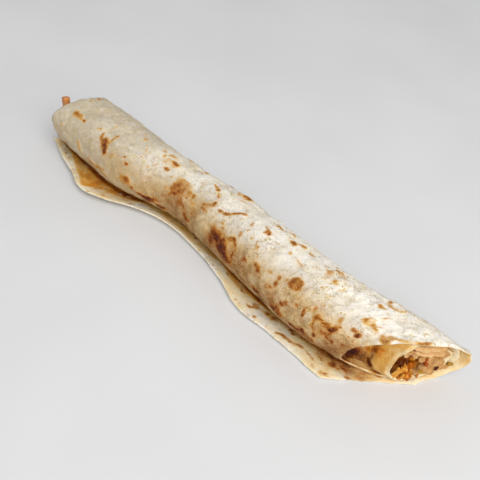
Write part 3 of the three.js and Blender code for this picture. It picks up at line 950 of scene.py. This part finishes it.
def strand(middle, way, length, width, flat, bend, seed):
    """A torn strand of meat: a bent tube with a flattened, fibrous section and closed tapered ends."""
    draw = np.random.default_rng(seed)
    way = unit_way(np.asarray(way, float))
    side = unit_way(np.cross(way, (0.3, 0.5, 0.8)))
    over = np.cross(way, side)
    t = np.linspace(0, 1, STRAND_STEPS)
    spine = np.asarray(middle) + np.outer(t - 0.5, way) * length
    spine = spine + np.outer(np.sin(np.pi * t), over) * bend
    taper = np.sqrt(np.clip(1 - np.abs(2 * t - 1) ** 3.5, 0.02, 1))
    angle = np.linspace(0, 2 * np.pi, STRAND_SIDES, endpoint=False)
    fibres = 1 + FIBRE_DEPTH * np.cos(draw.integers(3, 6) * angle + draw.uniform(0, 6))
    ring = (np.outer(np.cos(angle), side) + np.outer(np.sin(angle), over) * flat) * fibres[:, None]
    offset = ring[None, :, :] * (width / 2 * taper)[:, None, None]
    uneven = 1 + STRAND_ROUGHNESS * noise(spine[:, None, :] + offset, 2.4, seed)
    points = spine[:, None, :] + offset * uneven[..., None]
    return points.reshape(-1, 3), closed_tube(STRAND_STEPS, STRAND_SIDES)


BALL_DETAIL = 4


def ball():
    """Points and faces of an even ball of radius one."""
    shape = bmesh.new()
    bmesh.ops.create_icosphere(shape, subdivisions=BALL_DETAIL, radius=1)
    points = np.array([vertex.co[:] for vertex in shape.verts])
    faces = [[vertex.index for vertex in face.verts] for face in shape.faces]
    shape.free()
    return points, faces


def chunk(centre, radii, turn, seed, rough, boxy):
    """An uneven lump, more or less squared off, turned about the upright axis."""
    points, faces = ball()
    square = points / np.abs(points).max(axis=1, keepdims=True)
    points = points + (square * 0.8 - points) * boxy
    uneven = noise(points, 0.7, seed) + 0.4 * noise(points, 0.3, seed + 1)
    points = points * (1 + rough * uneven)[:, None] * radii
    cos, sin = math.cos(math.radians(turn)), math.sin(math.radians(turn))
    spin = np.array([[cos, -sin, 0], [sin, cos, 0], [0, 0, 1]])
    return points @ spin.T + np.asarray(centre), faces


def end_place(end, turns, share, sink):
    """A place on an end face of the filling: share runs from middle to rim, sink along the roll."""
    facing = (turns + 0.5) % 1
    both = np.array([turns, facing])
    rim, across = section_point(end(both), both, FILLING_INSET, 1)
    middle = (rim + across) / 2
    return middle + (rim - middle) * share - (sink, 0, 0)


# Long slices along the near opening's upper edge: place, way, length, width
TOP_SLICES = [
    ((151, 19, 27), (0.55, 0.83, -0.12), 26, 6.5),
    ((152.5, 19.5, 23), (0.55, 0.83, -0.16), 24, 5.5),
]

# Pale torn pieces in its right half
PALE_PIECES = [
    ((152.5, 15, 15.5), (0.2, 0.5, 1), 11, 5),
    ((155.5, 18.5, 11.5), (0.3, 1, 0.3), 12, 6),
    ((157, 22, 13.5), (0.4, 0.8, 0.7), 12, 5.5),
    ((156.5, 21, 8.5), (0.3, 1, 0.1), 12, 5),
    ((159, 25, 10.5), (0.5, 1, 0.6), 11, 5),
    ((153.5, 19, 17), (0.1, 0.9, 0.5), 10, 5),
    ((157.5, 25, 15.5), (0.4, 0.6, 0.9), 10, 4.5),
    ((151, 17, 20), (0, 1, 0.4), 11, 5),
    ((154, 22.5, 20), (0.2, 0.8, 0.6), 11, 5.5),
    ((152, 14, 9), (0.2, 1, 0.2), 9, 4.5),
    ((160.5, 28.5, 8.4), (0.5, 1, 0.35), 11, 4),
    ((162.6, 30.4, 9.6), (0.5, 0.9, 0.6), 7, 3.4),
]

# Cream strands that hang over its lower lip on the left
LIP_STRANDS = [
    ((149, 4.3, 7), (0.25, 0.05, 1), 8, 2.2),
    ((147.6, 2.6, 8), (0.2, 0, 1), 8, 1.8),
    ((150.8, 7.2, 6.6), (0.25, 0.2, 1), 7, 2),
    ((144.6, 1.6, 8.4), (0.3, 0.3, 1), 9, 2.2),
    ((145.8, 3.2, 6.2), (0.4, 0.5, 1), 8, 2),
    ((143.4, 0.2, 11.5), (0.2, 0.2, 1), 9, 2),
]
SLICE_FLAT = 0.6
SLICE_BEND = 0.8
SLICE_SEED = 390
PALE_FLAT = (0.45, 0.7)
PALE_SEED = 400
LIP_FLAT = 0.7
LIP_SEED = 420

# Scattered strands: the ranges that they are drawn from, and how far their ways spread about a way
Scatter = namedtuple("Scatter", "count seed turns sink width length flat spread way")
NEAR_SHREDS = Scatter(
    105, 100, (0.58, 1.12), (-1.8, 1.5), (1.6, 3.2), (5, 12), (0.5, 0.9), (0.35, 0.5, 0.3), (0.1, 0, 1))
FAR_SHREDS = Scatter(
    70, 300, (0, 1), (-1, 2), (1.4, 2.8), (5, 10), (0.5, 0.9), (0.5, 1, 0.8), (0, 0, 0))
NEAR_PALE = Scatter(
    34, 440, (0.08, 0.56), (-1.5, 1), (2.2, 5), (6, 12), (0.4, 0.7), (0.3, 0.4, 0.5), (0.3, 1, 0.2))
STRAND_BEND = (-1.5, 1.5)
SHRED_SEED = 61
NEAR_REACH = 0.95
FAR_REACH = 0.85
PALE_REACH = (0.2, 0.98)
LEFT_SINK = 5
LIGHT_SHARE = 0.18

# Small bits in the near opening: centre, half sizes, turn in degrees, seed, roughness, squareness
BITS = {
    "red": [
        ((154.4, 13.4, 18.8), (1.5, 1.9, 0.7), 30, 500, 0.4, 0.2),
        ((153.6, 15.6, 19.6), (1, 1.3, 0.6), 10, 501, 0.4, 0.2),
    ],
    "green": [
        ((154.6, 10.3, 13.6), (1.4, 1.2, 0.8), 10, 510, 0.3, 0.2),
        ((164.6, 31.2, 11.8), (1.8, 1, 1.4), 40, 511, 0.3, 0.2),
    ],
    "speck": [((160.2, 20.2, 13.4), (0.8, 2.1, 0.9), -15, 520, 0.2, 0)],
}


def build_filling(materials):
    """The core, and over it the torn strands and small bits, drawn in one fixed order."""
    filling_core(materials["core"])
    draw = np.random.default_rng(SHRED_SEED)

    def way_and_width(kind):
        way = draw.normal(size=3) * kind.spread + kind.way
        return way, draw.uniform(*kind.width)

    def torn(kind, k, place, way, width):
        length = draw.uniform(*kind.length)
        flat = draw.uniform(*kind.flat)
        return strand(place, way, length, width, flat, draw.uniform(*STRAND_BEND), kind.seed + k)

    shreds, light, dark = [], [], []
    for k in range(NEAR_SHREDS.count):
        turns = draw.uniform(*NEAR_SHREDS.turns)
        sink = draw.uniform(*NEAR_SHREDS.sink) + LEFT_SINK * fade(0.76, 0.66, turns)
        place = end_place(filling_near_end, turns, NEAR_REACH * math.sqrt(draw.uniform()), sink)
        shade = hollow_share(place)
        place[0] -= SHRED_HOLLOW * shade
        way, width = way_and_width(NEAR_SHREDS)
        heap = light if draw.uniform() < LIGHT_SHARE else shreds
        # Shreds deep in the hollow take the shaded meat, a painted shade
        if shade > DARK_SHADE:
            heap = dark
        heap.append(torn(NEAR_SHREDS, k, place, way, width))
    for k in range(FAR_SHREDS.count):
        turns = draw.uniform(*FAR_SHREDS.turns)
        share = FAR_REACH * math.sqrt(draw.uniform())
        place = end_place(filling_far_end, turns, share, draw.uniform(*FAR_SHREDS.sink))
        shreds.append(torn(FAR_SHREDS, k, place, *way_and_width(FAR_SHREDS)))
    for k, row in enumerate(LIP_STRANDS):
        light.append(strand(*row, LIP_FLAT, draw.uniform(*STRAND_BEND), LIP_SEED + k))
    slices = [strand(*row, SLICE_FLAT, SLICE_BEND, SLICE_SEED + k) for k, row in enumerate(TOP_SLICES)]
    pale = []
    for k, row in enumerate(PALE_PIECES):
        flat = draw.uniform(*PALE_FLAT)
        pale.append(strand(*row, flat, draw.uniform(*STRAND_BEND), PALE_SEED + k))
    for k in range(NEAR_PALE.count):
        turns = draw.uniform(*NEAR_PALE.turns)
        share = draw.uniform(*PALE_REACH)
        place = end_place(filling_near_end, turns, share, draw.uniform(*NEAR_PALE.sink))
        pale.append(torn(NEAR_PALE, k, place, *way_and_width(NEAR_PALE)))

    heaps = {"shreds": shreds, "light_shreds": light, "dark_shreds": dark}
    heaps.update({"slices": slices, "pale": pale})
    heaps.update({name: [chunk(*row) for row in rows] for name, rows in BITS.items()})
    for name, bits in heaps.items():
        heap_piece(f"filling_{name}", bits, materials[name])


# Orange stick: its grid, the rings close to each end, and how its ends and faces are worn
STICK_RINGS = 40
STICK_CORNERS = 40
STICK_SQUARENESS = 5
STICK_END_RINGS = [0, 0.004, 0.012]
STICK_NOISE = [(0.06, 5, 71), (0.05, 2, 72)]


def build_stick(material):
    """A cut vegetable stick: a squared section with worn corners, uneven faces and tucked ends."""
    way = STICK_TIP - STICK_ROOT
    length = np.linalg.norm(way)
    way = way / length
    side = unit_way(np.cross(way, (0, 1, 0)))
    over = np.cross(way, side)
    angle = np.linspace(0, 2 * np.pi, STICK_CORNERS, endpoint=False)
    square = np.stack([np.cos(angle), np.sin(angle)], -1)
    square /= (np.abs(square) ** STICK_SQUARENESS).sum(1, keepdims=True) ** (1 / STICK_SQUARENESS)
    section = (square[:, :1] * side + square[:, 1:] * over) * STICK_WIDTH / 2
    ends = np.array(STICK_END_RINGS)
    shares = np.concatenate([ends, np.linspace(0.03, 0.97, STICK_RINGS), 1 - ends[::-1]])
    tuck = 1 - 0.12 * fade(0.95, 1, np.abs(2 * shares - 1)) ** 2
    spine = STICK_ROOT + np.outer(shares * length, way)
    offset = section[None, :, :] * tuck[:, None, None]
    uneven = 1 + layered(spine[:, None, :] + offset, STICK_NOISE)
    points = (spine[:, None, :] + offset * uneven[..., None]).reshape(-1, 3)
    faces = closed_tube(len(shares), STICK_CORNERS)
    make_piece("orange_stick_cut", points, faces, material, "orange_stick")


# Floor, light and camera
FLOOR_HALF = 3
FLOOR_CORNERS = [(-1, -1), (1, -1), (1, 1), (-1, 1)]
FLOOR_TONES = [(216, 215, 214), (221, 220, 219)]


def build_floor():
    shader = Shader("floor_paint", 0.7)
    tones = [linear(*tone) for tone in FLOOR_TONES]
    tone = shader.mix(shader.band(shader.noise(160, 2), 0.3, 0.7), *tones)
    shader.bump(shader.noise(3, 3), 0.1, 0.1)
    mesh = bpy.data.meshes.new("floor")
    corners = [(x * FLOOR_HALF, y * FLOOR_HALF, 0) for x, y in FLOOR_CORNERS]
    mesh.from_pydata(corners, [], [(0, 1, 2, 3)])
    mesh.materials.append(shader.colour(tone))
    floor = add_object("floor", mesh)


# Name, place and size in metres, and power in watts
LIGHTS = [
    ("key_light", (0.9, -0.65, 1.55), 1.7, 23.5),
    ("fill_light", (1.5, -0.5, 0.85), 1.6, 12),
]
LIGHT_TARGET = (0, 0, 0.02)
SKY = (0.95, 0.97, 1, 1)
SKY_STRENGTH = 0.5


def build_light():
    for name, place, size, power in LIGHTS:
        light = bpy.data.lights.new(name, "AREA")
        light.size = size
        light.energy = power
        lamp = add_object(name, light)
        lamp.location = place
        way = Vector(LIGHT_TARGET) - lamp.location
        lamp.rotation_euler = way.to_track_quat("-Z", "Y").to_euler()
    world = bpy.data.worlds.new("studio")
    world.use_nodes = True
    sky = world.node_tree.nodes["Background"]
    sky.inputs["Color"].default_value = SKY
    sky.inputs["Strength"].default_value = SKY_STRENGTH
    bpy.context.scene.world = world
    bpy.context.scene.view_settings.view_transform = "Standard"


def build_camera():
    data = bpy.data.cameras.new("photo_camera")
    data.sensor_width = SENSOR
    data.lens = FOCAL_PIXELS / PHOTO_PIXELS * SENSOR
    camera = add_object("photo_camera", data)
    backward = [-part for part in CAMERA_FORWARD]
    place = [part * MM for part in CAMERA_PLACE]
    rows = zip(CAMERA_RIGHT, CAMERA_UP, backward, place)
    camera.matrix_world = Matrix([*rows, (0, 0, 0, 1)])
    bpy.context.scene.camera = camera


# Cooked food: its material, its pale, deep and darkest colours on a screen, and its roughness
FILLING_COLOURS = {
    "core": ("filling_sauce", (178, 114, 42), (146, 82, 20), (100, 50, 8)),
    "shreds": ("sauced_meat", (196, 114, 16), (164, 84, 6), (104, 46, 2)),
    # Darker copy of the sauced meat: painted shade for shreds deep in the hollow
    "dark_shreds": ("shaded_meat", (128, 66, 10), (98, 44, 4), (60, 24, 2)),
    "light_shreds": ("light_meat", (228, 171, 78), (200, 130, 38), (152, 82, 16)),
    "pale": ("pale_meat", (202, 158, 102), (176, 126, 68), (132, 84, 38), 0.5),
    "slices": ("top_slices", (224, 184, 130), (208, 162, 104), (178, 128, 74), 0.5),
    "red": ("red_pepper", (166, 80, 18), (142, 60, 12), (98, 38, 6), 0.6),
    "green": ("green_herb", (180, 138, 44), (150, 112, 28), (104, 76, 18), 0.55),
    "speck": ("dark_spice", (78, 34, 8), (58, 22, 5), (40, 14, 4), 0.9),
}
STICK_COLOURS = ("orange_root", (206, 140, 80), (184, 116, 62), (150, 92, 50), 0.45)

build_lavash(lavash_material())
build_filling({name: sauced_material(*row) for name, row in FILLING_COLOURS.items()})
build_stick(sauced_material(*STICK_COLOURS))
build_floor()
build_light()
build_camera()
